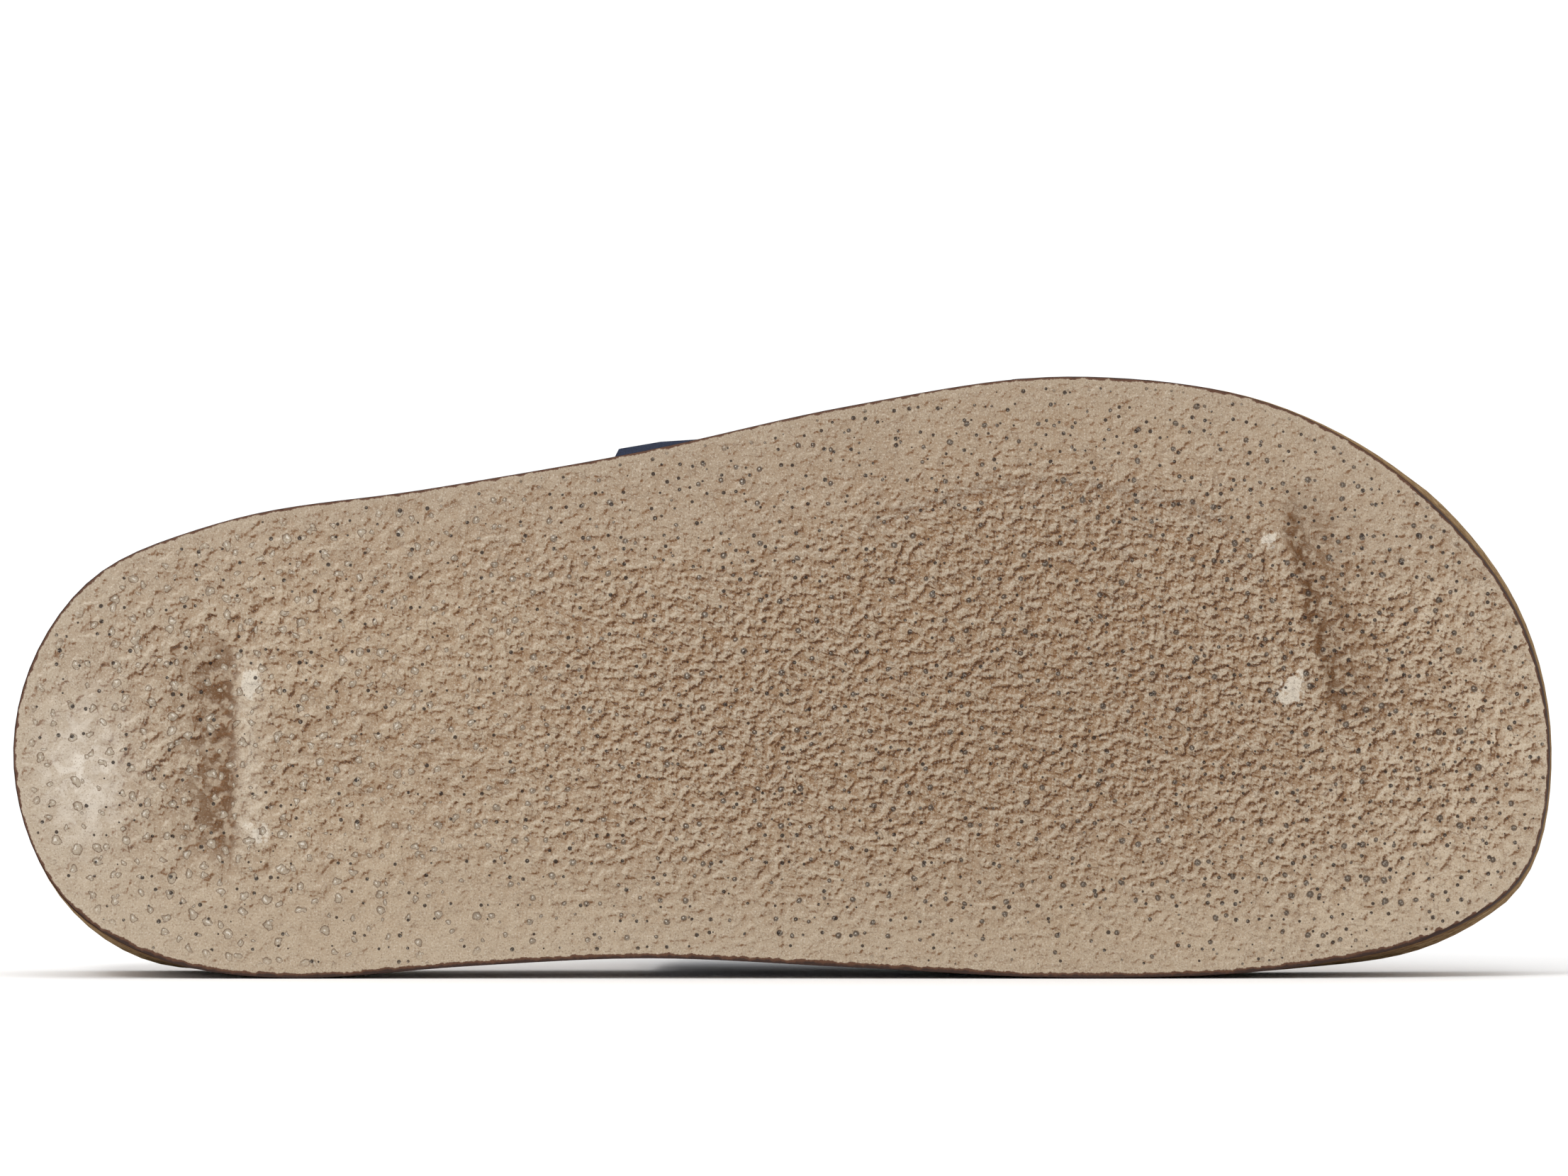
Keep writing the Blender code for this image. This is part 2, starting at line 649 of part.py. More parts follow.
def lay_down(pieces):
    """Roll the sandal onto its inner side so that it rests on its sole's edge and a strap."""
    view = bpy.context.evaluated_depsgraph_get()
    points = []
    volume = 0.0
    moment = 0.0
    for piece in pieces:
        mesh = piece.evaluated_get(view).to_mesh()
        points += [vert.co.copy() for vert in mesh.vertices]
        mesh.calc_loop_triangles()
        for triangle in mesh.loop_triangles:
            a, b, c = (mesh.vertices[i].co for i in triangle.vertices)
            part = a.dot(b.cross(c)) / 6
            volume += part
            moment += part * (a.z + b.z + c.z) / 4
        piece.evaluated_get(view).to_mesh_clear()
    weight_at = moment / volume
    edge = sorted((point.z, -point.y) for point in points)
    hull = []
    for here in edge:
        while len(hull) > 1:
            (z0, w0), (z1, w1) = hull[-2:]
            if (z1 - z0) * (here[1] - w0) > (w1 - w0) * (here[0] - z0):
                break
            hull.pop()
        hull.append(here)
    low, high = next(pair for pair in zip(hull, hull[1:]) if pair[0][0] <= weight_at <= pair[1][0])
    tilt = math.atan2(high[1] - low[1], high[0] - low[0])
    roll = Matrix.Rotation(-(math.pi / 2 + tilt), 4, "X")
    turned = np.array([roll @ point for point in points])
    least, most = turned.min(axis=0), turned.max(axis=0)
    centre = (least + most) / 2
    holder = bpy.data.objects.new("sandal", None)
    bpy.context.scene.collection.objects.link(holder)
    holder.matrix_world = Matrix.Translation((-centre[0], -centre[1], -least[2])) @ roll
    for piece in bpy.context.scene.objects:
        if piece is not holder:
            piece.parent = holder


def build():
    clear_scene()
    rubber = material("sole_rubber", (0.36, 0.27, 0.19), 0.75)
    cork = material("footbed_cork", (0.32, 0.20, 0.11), 0.85)
    suede = material("insole_suede", (0.42, 0.30, 0.20), 0.95)
    leather = material("strap_leather", (0.022, 0.030, 0.065), 0.55)
    metal = material("buckle_metal", (0.62, 0.50, 0.32), 0.35, metallic=1.0)

    bottom = [inner_loop(0, share, -EDGE_BEVEL) for share in (0.86, 0.5, 0.2)]
    top = [inner_loop(OUTSOLE, share) for share in (0.3, 0.86)]
    loops = [*bottom, edge_loop(0, -EDGE_BEVEL), edge_loop(EDGE_BEVEL), edge_loop(OUTSOLE), *top]
    outsole = add_object("outsole", mesh_of_loops("outsole", loops, True), rubber)

    under = OUTSOLE + GAP
    beds = bed_loops()
    loops = [inner_loop(under, 0.86), inner_loop(under, 0.4), edge_loop(under)]
    loops += [edge_loop(EDGE[:, 2] - LIP_WIDTHS[0]), *beds]
    footbed = add_object("footbed", mesh_of_loops("footbed", loops, True), cork)
    cut(footbed, seat_cutter(MEDIAL, INNER_QUARTER))
    cut(footbed, seat_cutter(LATERAL, OUTER_QUARTER))

    raised = [loop + np.array([0, 0, GAP]) for loop in beds[1:]]
    insole = add_object("insole", mesh_of_loops("insole", raised, False), suede)
    thickness = insole.modifiers.new("Thickness", "SOLIDIFY")
    thickness.thickness = INSOLE_THICK
    thickness.offset = -1.0

    straps = [Strap(*row) for row in STRAPS]
    inner = inner_upper(straps, leather)
    outer = outer_upper(straps, leather)
    pieces = [outsole, footbed, insole, inner, outer]
    for strap in straps:
        name = "buckle_" + strap.name
        frame = tube(name + "_frame", frame_points(strap), WIRE, True)
        prong = tube(name + "_prong", prong_points(strap), PRONG_WIRE, False)
        pieces += [add_object(name + "_frame", frame, metal), add_object(name + "_prong", prong, metal)]
        room = tube(name + "_prong_room", prong_points(strap), PRONG_WIRE + GAP, False)
        cut(inner, cutter(name + "_prong_room", room))
        half = 0.5 * PRONG_SLOT
        slot = box_cutter(name + "_slot", strap, (-0.0060, -0.0060, -half), (0.0060, 0.0060, half))
        cut(outer, slot)
        for number, above in enumerate(HOLE_PLACES):
            cut(inner, hole_cutter(f"{name}_hole_{number}", strap, above))
    bpy.context.view_layer.update()
    lay_down(pieces)


build()
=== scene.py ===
import json
import math

import bmesh
import bpy
import numpy as np
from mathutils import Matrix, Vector
from mathutils.kdtree import KDTree


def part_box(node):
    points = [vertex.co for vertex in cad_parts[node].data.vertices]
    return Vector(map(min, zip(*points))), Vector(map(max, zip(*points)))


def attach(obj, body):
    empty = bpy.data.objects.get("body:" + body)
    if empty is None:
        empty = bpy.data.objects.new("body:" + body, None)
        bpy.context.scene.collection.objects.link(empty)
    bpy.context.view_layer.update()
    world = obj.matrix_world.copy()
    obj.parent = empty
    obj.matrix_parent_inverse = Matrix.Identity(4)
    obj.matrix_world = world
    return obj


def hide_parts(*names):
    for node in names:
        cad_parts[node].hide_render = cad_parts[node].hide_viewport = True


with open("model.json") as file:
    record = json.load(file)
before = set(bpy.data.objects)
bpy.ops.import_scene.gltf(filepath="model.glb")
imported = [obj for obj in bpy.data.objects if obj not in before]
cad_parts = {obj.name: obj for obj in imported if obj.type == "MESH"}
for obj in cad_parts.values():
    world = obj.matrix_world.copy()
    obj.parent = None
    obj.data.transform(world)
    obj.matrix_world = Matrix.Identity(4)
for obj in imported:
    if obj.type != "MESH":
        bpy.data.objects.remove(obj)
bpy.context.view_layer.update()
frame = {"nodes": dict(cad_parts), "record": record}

# Outsole: a sheet of pale foam rubber glued under the footbed and trimmed flush with it. Its
# face is moulded with a coarse wrinkled skin full of burst bubbles, stands a little proud
# between two bars near heel and toe, and is burnished brown along the trimmed edge.
SOLE_LENGTH = 0.2720
TOE_SPRING = 0.007
SPRING_START = 0.70
SPRING_SHARE = 0.30
HEEL_LIFT = 0.0012
LIFT_SHARE = 0.07
WELD = 0.000004
FACE_TOLERANCE = 0.0002
FACE_DEPTH = 0.0006
GRID_CORNER = 0.0096
GRID_CORNER_RISE = 0.045
GRID_SPAN = 24
GRID_CUTS = 6
SIDE_START = 0.0003
SIDE_STEP = 0.002
sole_mount = frame["record"]["mounts"][0]
sole_point = np.array(sole_mount["pos_m"])
sole_out = np.array(sole_mount["axis"])
heel_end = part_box("outsole")[0].x
inner_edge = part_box("outsole")[0].z


def node_copy(name, node):
    """Own copy of a node's mesh, its loose triangles welded, alone in the selection."""
    mesh = frame["nodes"][node].data.copy()
    mesh.materials.clear()
    piece = bpy.data.objects.new(name, mesh)
    bpy.context.scene.collection.objects.link(piece)
    bpy.ops.object.select_all(action="DESELECT")
    piece.select_set(True)
    bpy.context.view_layer.objects.active = piece
    bpy.ops.object.mode_set(mode="EDIT")
    bpy.ops.mesh.select_all(action="SELECT")
    bpy.ops.mesh.customdata_custom_splitnormals_clear()
    bpy.ops.mesh.remove_doubles(threshold=WELD)
    bpy.ops.mesh.tris_convert_to_quads(face_threshold=math.radians(12), shape_threshold=math.radians(60))
    bpy.ops.object.mode_set(mode="OBJECT")
    return piece


def round_off(piece, levels, sharp):
    """Smooths the facets of the active piece; edges over the angle stay crisp."""
    bpy.ops.object.mode_set(mode="EDIT")
    bpy.ops.mesh.select_mode(type="EDGE")
    bpy.ops.mesh.select_all(action="DESELECT")
    bpy.ops.mesh.edges_select_sharp(sharpness=math.radians(sharp))
    bpy.ops.transform.edge_crease(value=1.0)
    bpy.ops.object.mode_set(mode="OBJECT")
    smooth = piece.modifiers.new("Smooth", "SUBSURF")
    smooth.levels = smooth.render_levels = levels
    bpy.ops.object.modifier_apply(modifier="Smooth")


def points_of(piece):
    flat = np.empty(len(piece.data.vertices) * 3)
    piece.data.vertices.foreach_get("co", flat)
    return flat.reshape(-1, 3)


def move_points(piece, points):
    piece.data.vertices.foreach_set("co", points.ravel())
    piece.data.update()


def store(piece, name, values):
    """Values for each vertex, which the material reads by name."""
    kept = piece.data.attributes.new(name, "FLOAT", "POINT")
    kept.data.foreach_set("value", np.asarray(values, float))


def sole_lift(along):
    """Rise of the sole's face off a flat floor: toe spring and heel lift."""
    toe = np.clip((along - SPRING_START * SOLE_LENGTH) / (SPRING_SHARE * SOLE_LENGTH), 0, None)
    heel = np.clip(1 - along / (LIFT_SHARE * SOLE_LENGTH), 0, None)
    return TOE_SPRING * toe**2 + HEEL_LIFT * heel**2


def sole_height(points):
    """Height of points above the sole's face, measured towards the foot."""
    return (sole_point - points) @ sole_out - sole_lift(points[:, 0] - heel_end)


def corner_distance(vert):
    """How far a vertex of the rim is from the corner where the face's grid starts."""
    return abs(vert.co.x - heel_end - GRID_CORNER) + (vert.co.z > inner_edge + GRID_CORNER_RISE)


outsole = node_copy("foam_outsole", "outsole")
round_off(outsole, levels=1, sharp=30)
bpy.ops.object.mode_set(mode="EDIT")
bpy.ops.mesh.select_mode(type="FACE")
bpy.ops.mesh.select_all(action="DESELECT")
bm = bmesh.from_edit_mesh(outsole.data)
bm.verts.index_update()
heights = sole_height(np.array([vert.co for vert in bm.verts]))
for face in bm.faces:
    face.select_set(all(heights[vert.index] < FACE_TOLERANCE for vert in face.verts))
bmesh.update_edit_mesh(outsole.data)
bpy.ops.mesh.delete(type="FACE")
bpy.ops.mesh.select_mode(type="EDGE")
bpy.ops.mesh.select_non_manifold()
bm = bmesh.from_edit_mesh(outsole.data)
bm.select_history.clear()
bm.select_history.add(min([vert for vert in bm.verts if vert.select], key=corner_distance))
bpy.ops.mesh.fill_grid(span=GRID_SPAN, use_interp_simple=True)
bm = bmesh.from_edit_mesh(outsole.data)
bm.verts.index_update()
heights = sole_height(np.array([vert.co for vert in bm.verts]))
for vert in bm.verts:
    if vert.select:
        vert.co += Vector(sole_out * heights[vert.index])
        heights[vert.index] = 0
for edge in bm.edges:
    ends = [heights[vert.index] for vert in edge.verts]
    outer = any(abs(face.normal.dot(Vector(sole_out))) < 0.9 for face in edge.link_faces)
    if outer and min(ends) > SIDE_START and abs(ends[0] - ends[1]) < SIDE_STEP:
        edge.select_set(True)
bmesh.update_edit_mesh(outsole.data)
bpy.ops.mesh.subdivide(number_cuts=GRID_CUTS)
bpy.ops.object.mode_set(mode="OBJECT")

points = points_of(outsole)
height = sole_height(points)
under = height < FACE_DEPTH
points[under] += np.outer(height[under], sole_out)
ends = np.empty(len(outsole.data.edges) * 2, int)
outsole.data.edges.foreach_get("vertices", ends)
ends = ends.reshape(-1, 2)
crossing = ends[under[ends[:, 0]] != under[ends[:, 1]]]
border = np.unique(crossing[under[crossing]])
tree = KDTree(len(border))
for index in border:
    tree.insert(points[index], int(index))
tree.balance()
inset = np.array([tree.find(point)[2] for point in points])
inset = np.where(under, inset, -height)

# Raised middle of the sole, sharp where it meets the two bars and soft along its sides. Places are
# millimetres from the heel's end or the inner edge, and at the toe from its slanted step: a middle
# with its widths, or where something starts, is full, fades and is gone. Heights, and distances
# from the trimmed edge, are metres.
PLATEAU = 0.0009
PLATEAU_SIDE = (0.005, 0.024)
STEP_WIDTH = 2.6
HEEL_STEP = 41.2
HEEL_SOFT = 9
TOE_STEP = 224.3
TOE_STEP_ACROSS = 81.6
TOE_SLANT = 0.258
TOE_SOFT = 10
BAR_DEPTH = 0.0008
HEEL_BAR = (36.0, 4.5, 2.2)
HEEL_BAR_ACROSS = (20, 27, 53, 60)
TOE_BAR = (4.0, 2.2, 6.0)
TOE_BAR_ACROSS = (44, 51, 79, 87)
ARC_MIDDLE = 184
ARC_REACH = 38.5
ARC_LOW = 76.6
ARC_RISE = 10.4
ARC_ENDS = (146, 158, 212, 222)
GROOVE_DEPTH = 0.00020
GROOVE_WIDTH = 0.8
GROOVE_SHADE = 1.3
SPOT_RISE = 0.0005
SPOTS = (  # along, across, size
    (42.4, 51.9, 2.6),
    (43.6, 25.6, 2.0),
    (222.6, 77.3, 1.4),
    (226.3, 51.4, 2.8),
)
HEEL_STAIN_AND_SHADE = (38.4, 7.0, 1.5)
HEEL_STAIN_AND_SHADE_ACROSS = (16, 28, 52, 64)
TOE_STAIN_AND_SHADE = (1.8, 1.8, 9.0)
TOE_STAIN_AND_SHADE_ACROSS = (40, 52, 78, 90)
HEEL_STEP_SHADE = (39.4, 0.8)
TOE_STEP_SHADE = (1.0, 0.8)
STEP_SHADE_SHARE = 0.7
TOE_STAIN_AND_SHADE_SHARE = 0.7
HEEL_STEP_LIT = (42.3, 2.4)
CALM_LOW = 71
CALM_BLEND = 8
CALM_ENDS = (85, 120, 238, 262)
BALL_MIDDLE_ALONG = (186, 52)
BALL_MIDDLE_ACROSS = (50, 30)
SHINE_ALONG = (13.0, 7.5)
SHINE_ACROSS = (36.5, 12)


def ease(value, start, end):
    share = np.clip((value - start) / (end - start), 0, 1)
    return share * share * (3 - 2 * share)


def between(value, start, full, fading, gone):
    """1 from full to fading, easing to 0 at start and gone."""
    return ease(value, start, full) * ease(value, gone, fading)


def bell(value, middle, before, after=None):
    """Hill of height 1 that falls away over one width before its middle and another after it."""
    return np.exp(-((value - middle) / np.where(value < middle, before, after or before))**2)


along = (points[:, 0] - heel_end) * 1000
across = (points[:, 2] - inner_edge) * 1000
from_toe = along - TOE_STEP - (TOE_STEP_ACROSS - across) * TOE_SLANT
heel_bar = between(across, *HEEL_BAR_ACROSS)
toe_bar = between(across, *TOE_BAR_ACROSS)
heel_blend = HEEL_SOFT * (1 - heel_bar)
toe_blend = TOE_SOFT * (1 - toe_bar)
raised = PLATEAU * ease(inset, *PLATEAU_SIDE)
raised *= ease(along, HEEL_STEP - STEP_WIDTH - heel_blend, HEEL_STEP + heel_blend)
raised *= ease(from_toe, STEP_WIDTH + toe_blend, -toe_blend)
raised -= BAR_DEPTH * heel_bar * bell(along, *HEEL_BAR)
raised -= BAR_DEPTH * toe_bar * bell(from_toe, *TOE_BAR)
arc = ARC_LOW + ARC_RISE * (1 - ((along - ARC_MIDDLE) / ARC_REACH)**2)
arc_span = between(along, *ARC_ENDS)
raised -= GROOVE_DEPTH * bell(across - arc, 0, GROOVE_WIDTH) * arc_span
worn = np.zeros(len(points))
for spot_along, spot_across, size in SPOTS:
    worn += bell(along, spot_along, size) * bell(across, spot_across, size)
raised += SPOT_RISE * worn
points += np.outer(np.where(under, raised, 0), sole_out)
move_points(outsole, points)

# Stain and painted shade in the two bars' hollows, and painted shade in a wavering line at the foot of each
# step
wander = 0.6 * np.sin(across * 0.9) + 0.4 * np.sin(across * 2.3 + 1)
stain_and_shade = between(across, *HEEL_STAIN_AND_SHADE_ACROSS) * bell(along, *HEEL_STAIN_AND_SHADE)
stain_and_shade += TOE_STAIN_AND_SHADE_SHARE * between(across, *TOE_STAIN_AND_SHADE_ACROSS) * bell(from_toe, *TOE_STAIN_AND_SHADE)
stain_and_shade += STEP_SHADE_SHARE * heel_bar * bell(along + wander, *HEEL_STEP_SHADE)
stain_and_shade += STEP_SHADE_SHARE * toe_bar * bell(from_toe + wander, *TOE_STEP_SHADE)
calm_line = np.maximum(arc, CALM_LOW)
calm = ease(across, calm_line - CALM_BLEND, calm_line + CALM_BLEND) * between(along, *CALM_ENDS)
store(outsole, "edge", inset)
store(outsole, "stain_and_shade", stain_and_shade)
store(outsole, "worn", worn)
store(outsole, "calm", calm)
store(outsole, "arc", bell(across - arc, 0, GROOVE_SHADE) * arc_span)
store(outsole, "step_highlight", heel_bar * bell(along, *HEEL_STEP_LIT))
store(outsole, "ball_middle", bell(along, *BALL_MIDDLE_ALONG) * bell(across, *BALL_MIDDLE_ACROSS))
store(outsole, "shine", bell(along, *SHINE_ALONG) * bell(across, *SHINE_ACROSS))

# Wrinkled skin, as a height over the sole that its mesh and its finish both read
BROAD_SCALE = 330
BROAD_RISE = 0.00024
BROAD_STEP = 0.00017
BROAD_MIDDLE = 0.00050
CLOSE_SCALE = 680
CLOSE_STRETCH = 0.85
CLOSE_RISE = 0.00020
CLOSE_STEP = 0.00010
CLOSE_MIDDLE = 0.00031
LAYERS = 4.4
CALM_LOSS = -0.45


def add(tree, kind, feeds, **settings):
    """New node with its settings, each input set or joined to another node's output."""
    made = tree.nodes.new(kind)
    for name, value in settings.items():
        setattr(made, name, value)
    for name, value in feeds.items():
        if isinstance(value, bpy.types.NodeSocket):
            tree.links.new(value, made.inputs[name])
        else:
            made.inputs[name].default_value = value
    return made


def sums(tree, operation, *values):
    return add(tree, "ShaderNodeMath", dict(enumerate(values)), operation=operation).outputs[0]


def times(tree, first, *others):
    for other in others:
        first = sums(tree, "MULTIPLY", first, other)
    return first


def fade(tree, value, start, end, low=0.0, high=1.0):
    """Smooth change from low to high as the value goes from start to end."""
    feeds = {"Value": value, "From Min": start, "From Max": end, "To Min": low, "To Max": high}
    return add(tree, "ShaderNodeMapRange", feeds, interpolation_type="SMOOTHSTEP").outputs[0]


def noise(tree, place, scale, detail=2.0, roughness=0.5, distortion=0.0, dimensions="2D"):
    feeds = {"Vector": place, "Scale": scale, "Detail": detail, "Roughness": roughness}
    feeds["Distortion"] = distortion
    return add(tree, "ShaderNodeTexNoise", feeds, noise_dimensions=dimensions).outputs["Fac"]


def lumps(tree, place, scale, rise, step, folds, sharpest):
    """Rounded lumps under layers of skin whose edges run sharp for a little way and then fade."""
    swell = fade(tree, noise(tree, place, scale, folds), 0.42, 0.62, 0.0, rise)
    sheet = times(tree, noise(tree, place, scale * 1.23, folds + 0.6, 0.55), LAYERS)
    whole = sums(tree, "FLOOR", sheet)
    blur = fade(tree, noise(tree, place, scale * 1.6, 1.0), 0.42, 0.58, sharpest, 0.5)
    start, end = sums(tree, "SUBTRACT", 0.5, blur), sums(tree, "ADD", 0.5, blur)
    layer = sums(tree, "ADD", whole, fade(tree, sums(tree, "SUBTRACT", sheet, whole), start, end))
    return sums(tree, "MULTIPLY_ADD", layer, step, swell)


def wrinkled_skin(tree, x, z, folds=1.8, sharpest=0.08):
    """Height of the moulded skin: broad flakes at the heel, close short ones under the ball."""
    along = sums(tree, "SUBTRACT", x, heel_end)
    flat = add(tree, "ShaderNodeCombineXYZ", {0: x, 1: z}).outputs[0]
    wide = add(tree, "ShaderNodeCombineXYZ", {0: times(tree, x, CLOSE_STRETCH), 1: z}).outputs[0]
    broad = lumps(tree, flat, BROAD_SCALE, BROAD_RISE, BROAD_STEP, folds, sharpest)
    close = lumps(tree, wide, CLOSE_SCALE, CLOSE_RISE, CLOSE_STEP, folds, sharpest)
    ball = times(tree, fade(tree, along, 0.040, 0.095), fade(tree, along, 0.262, 0.215, 0.5, 1.0))
    broad_share = sums(tree, "MULTIPLY_ADD", ball, -0.75, 1.0)
    broad = times(tree, sums(tree, "SUBTRACT", broad, BROAD_MIDDLE), broad_share)
    close_share = fade(tree, along, 0.030, 0.120, 0.28, 1.0)
    close_share = times(tree, close_share, fade(tree, along, 0.262, 0.215, 0.7, 1.0))
    return sums(tree, "MULTIPLY_ADD", sums(tree, "SUBTRACT", close, CLOSE_MIDDLE), close_share, broad)


relief = bpy.data.node_groups.new("sole_relief", "GeometryNodeTree")
relief.interface.new_socket("Sole", in_out="INPUT", socket_type="NodeSocketGeometry")
relief.interface.new_socket("Sole", in_out="OUTPUT", socket_type="NodeSocketGeometry")
start = relief.nodes.new("NodeGroupInput")
stop = relief.nodes.new("NodeGroupOutput")
place = add(relief, "ShaderNodeSeparateXYZ", {0: relief.nodes.new("GeometryNodeInputPosition").outputs[0]})
trim = add(relief, "GeometryNodeInputNamedAttribute", {"Name": "edge"}, data_type="FLOAT").outputs[0]
calm = add(relief, "GeometryNodeInputNamedAttribute", {"Name": "calm"}, data_type="FLOAT").outputs[0]
skin = wrinkled_skin(relief, place.outputs[0], place.outputs[2], folds=0.6, sharpest=0.42)
skin = times(relief, skin, fade(relief, trim, 0.0002, 0.0020), fade(relief, trim, 0.002, 0.022, 0.5, 1.0))
skin = times(relief, skin, sums(relief, "MULTIPLY_ADD", calm, CALM_LOSS, 1.0))
push = add(relief, "ShaderNodeVectorMath", {0: tuple(sole_out), "Scale": skin}, operation="SCALE").outputs[0]
moved = add(relief, "GeometryNodeSetPosition", {"Geometry": start.outputs[0], "Offset": push})
relief.links.new(moved.outputs[0], stop.inputs[0])
outsole.modifiers.new("Relief", "NODES").node_group = relief
bpy.ops.object.modifier_apply(modifier="Relief")
bpy.ops.object.shade_smooth_by_angle(angle=math.radians(60))

# Colours of the foam, each as it is seen under the studio's light
BRIGHTNESS = 1.17


def paint(red, green, blue):
    """Shader's colour for one that is seen as these values, out of 255, in the studio's light."""
    shares = [value / 255 for value in (red, green, blue)]
    linear = [s / 12.92 if s < 0.04045 else ((s + 0.055) / 1.055)**2.4 for s in shares]
    return (*[value / BRIGHTNESS for value in linear], 1.0)


def mix(tree, share, first, second):
    return add(tree, "ShaderNodeMix", {0: share, 6: first, 7: second}, data_type="RGBA").outputs[2]


def stored(tree, name):
    return add(tree, "ShaderNodeAttribute", {}, attribute_name=name).outputs["Fac"]


HEEL_FOAM = paint(176, 160, 139)
TOE_FOAM = paint(202, 183, 158)
MIDDLE_FOAM = (  # share of the sole's length, colour
    (0.20, paint(177, 157, 132)),
    (0.45, paint(175, 156, 132)),
    (0.68, paint(175, 154, 128)),
)
DRIFT_FOAM = paint(156, 135, 112)
MARGIN_FOAM = paint(182, 166, 145)
INNER_FOAM = paint(192, 175, 152)
OUTER_FOAM = paint(160, 142, 122)
BALL_MIDDLE_FOAM = paint(146, 126, 104)
ARC_SHADE = paint(132, 114, 97)
DIRT = paint(142, 108, 72)
HOLLOW_SHADE_AND_DIRT = paint(138, 103, 68)
BROWN_STAIN_AND_SHADE = paint(100, 65, 30)
PAINTED_FOLD_SHADE = paint(126, 86, 50)
DEEP_PAINTED_FOLD_SHADE = paint(74, 44, 24)
CREASE_SHADE = paint(98, 64, 36)
PAINTED_FOLD_HIGHLIGHT = paint(212, 198, 177)
PAINTED_STEP_HIGHLIGHT = paint(204, 190, 170)
WORN_SPOT = paint(212, 201, 184)
PAINTED_HEEL_SHEEN = paint(222, 212, 198)
BUBBLE_RIM_SHADE = paint(98, 70, 46)
HEEL_BUBBLE = paint(168, 154, 134)
BALL_BUBBLE_SHADE = paint(52, 42, 34)
BUBBLE_GLINT = paint(226, 218, 206)
PIT_SHADE = paint(36, 23, 15)
CELL_SHADE = paint(104, 76, 52)
DARK_GRAIN = paint(106, 78, 55)
PALE_GRAIN = paint(216, 205, 190)
BURNISHED = paint(94, 62, 44)
DARK_BURNISHED = paint(54, 35, 27)
SANDED_DARK = paint(104, 79, 55)
SANDED_PALE = paint(138, 111, 83)

rubber = bpy.data.materials.new("foam_rubber")
rubber.use_nodes = True
look = rubber.node_tree
shader = look.nodes["Principled BSDF"]
solid = look.nodes.new("ShaderNodeTexCoord").outputs["Object"]
place = add(look, "ShaderNodeSeparateXYZ", {0: solid})
x, z = place.outputs[0], place.outputs[2]
flat = add(look, "ShaderNodeCombineXYZ", {0: x, 1: z}).outputs[0]
along = sums(look, "SUBTRACT", x, heel_end)
up = sums(look, "SUBTRACT", z, inner_edge)
trim = stored(look, "edge")
shine = stored(look, "shine")
calm = stored(look, "calm")
stain_and_shade_mask = stored(look, "stain_and_shade")

# Bare foam: its tone along and across the sole
ramp = add(look, "ShaderNodeValToRGB", {0: sums(look, "DIVIDE", along, SOLE_LENGTH)})
ramp.color_ramp.elements[0].color = HEEL_FOAM
ramp.color_ramp.elements[1].color = TOE_FOAM
for share, tone in MIDDLE_FOAM:
    ramp.color_ramp.elements.new(share).color = tone
drift = noise(look, flat, 60, 3, 0.6, 0.5)
colour = mix(look, fade(look, drift, 0.35, 0.7, 0.0, 0.30), ramp.outputs[0], DRIFT_FOAM)
margin = sums(look, "MULTIPLY_ADD", drift, 0.004, trim)
colour = mix(look, fade(look, margin, 0.010, 0.003, 0.0, 0.35), colour, MARGIN_FOAM)
colour = mix(look, fade(look, up, 0.040, 0.004, 0.0, 0.4), colour, INNER_FOAM)
colour = mix(look, fade(look, up, 0.058, 0.085, 0.0, 0.4), colour, OUTER_FOAM)
# Darker in the middle of the ball
colour = mix(look, times(look, stored(look, "ball_middle"), 0.55), colour, BALL_MIDDLE_FOAM)
colour = mix(look, times(look, stored(look, "arc"), 0.6), colour, ARC_SHADE)

# Wrinkles: dirt in blotches, painted shade with some dirt in the hollows, stain and painted shade over the
# bars, painted shade and painted highlight on the two sides of each fold, painted shade in the creases
SHADE_SHIFT_ALONG = 0.00014
SHADE_SHIFT_ACROSS = 0.00020
inside = times(look, fade(look, trim, 0.0002, 0.0018), fade(look, trim, 0.002, 0.020, 0.7, 1.0))
inside = times(look, inside, fade(look, up, 0.006, 0.040, 0.5, 1.0))
inside = times(look, inside, fade(look, along, 0.060, 0.140, 0.74, 1.0))
inside = times(look, inside, sums(look, "MULTIPLY_ADD", shine, -0.75, 1.0))
inside = times(look, inside, sums(look, "MULTIPLY_ADD", calm, CALM_LOSS, 1.0))
dirt_and_shade_reach = times(look, inside, fade(look, along, 0.015, 0.110, 0.5, 1.0))
dirt = noise(look, flat, 340, 3.5, 0.62, 0.5)
colour = mix(look, times(look, fade(look, dirt, 0.46, 0.66, 0.0, 0.5), dirt_and_shade_reach), colour, DIRT)
skin = times(look, wrinkled_skin(look, x, z), inside)
# Painted shading: the skin's height a little down and right is taken from its height a little up and left, so
# each fold's lower right side is painted dark as shade and its upper left side pale as a highlight
left, right = sums(look, "SUBTRACT", x, SHADE_SHIFT_ALONG), sums(look, "ADD", x, SHADE_SHIFT_ALONG)
above, below = sums(look, "ADD", z, SHADE_SHIFT_ACROSS), sums(look, "SUBTRACT", z, SHADE_SHIFT_ACROSS)
relief_shading = sums(look, "SUBTRACT", wrinkled_skin(look, left, above), wrinkled_skin(look, right, below))
relief_shading = times(look, relief_shading, inside)
# Painted shade with some dirt: darker where the skin lies low in its hollows
colour = mix(look, times(look, fade(look, skin, 0.00002, -0.00012, 0.0, 0.6), dirt_and_shade_reach), colour, HOLLOW_SHADE_AND_DIRT)
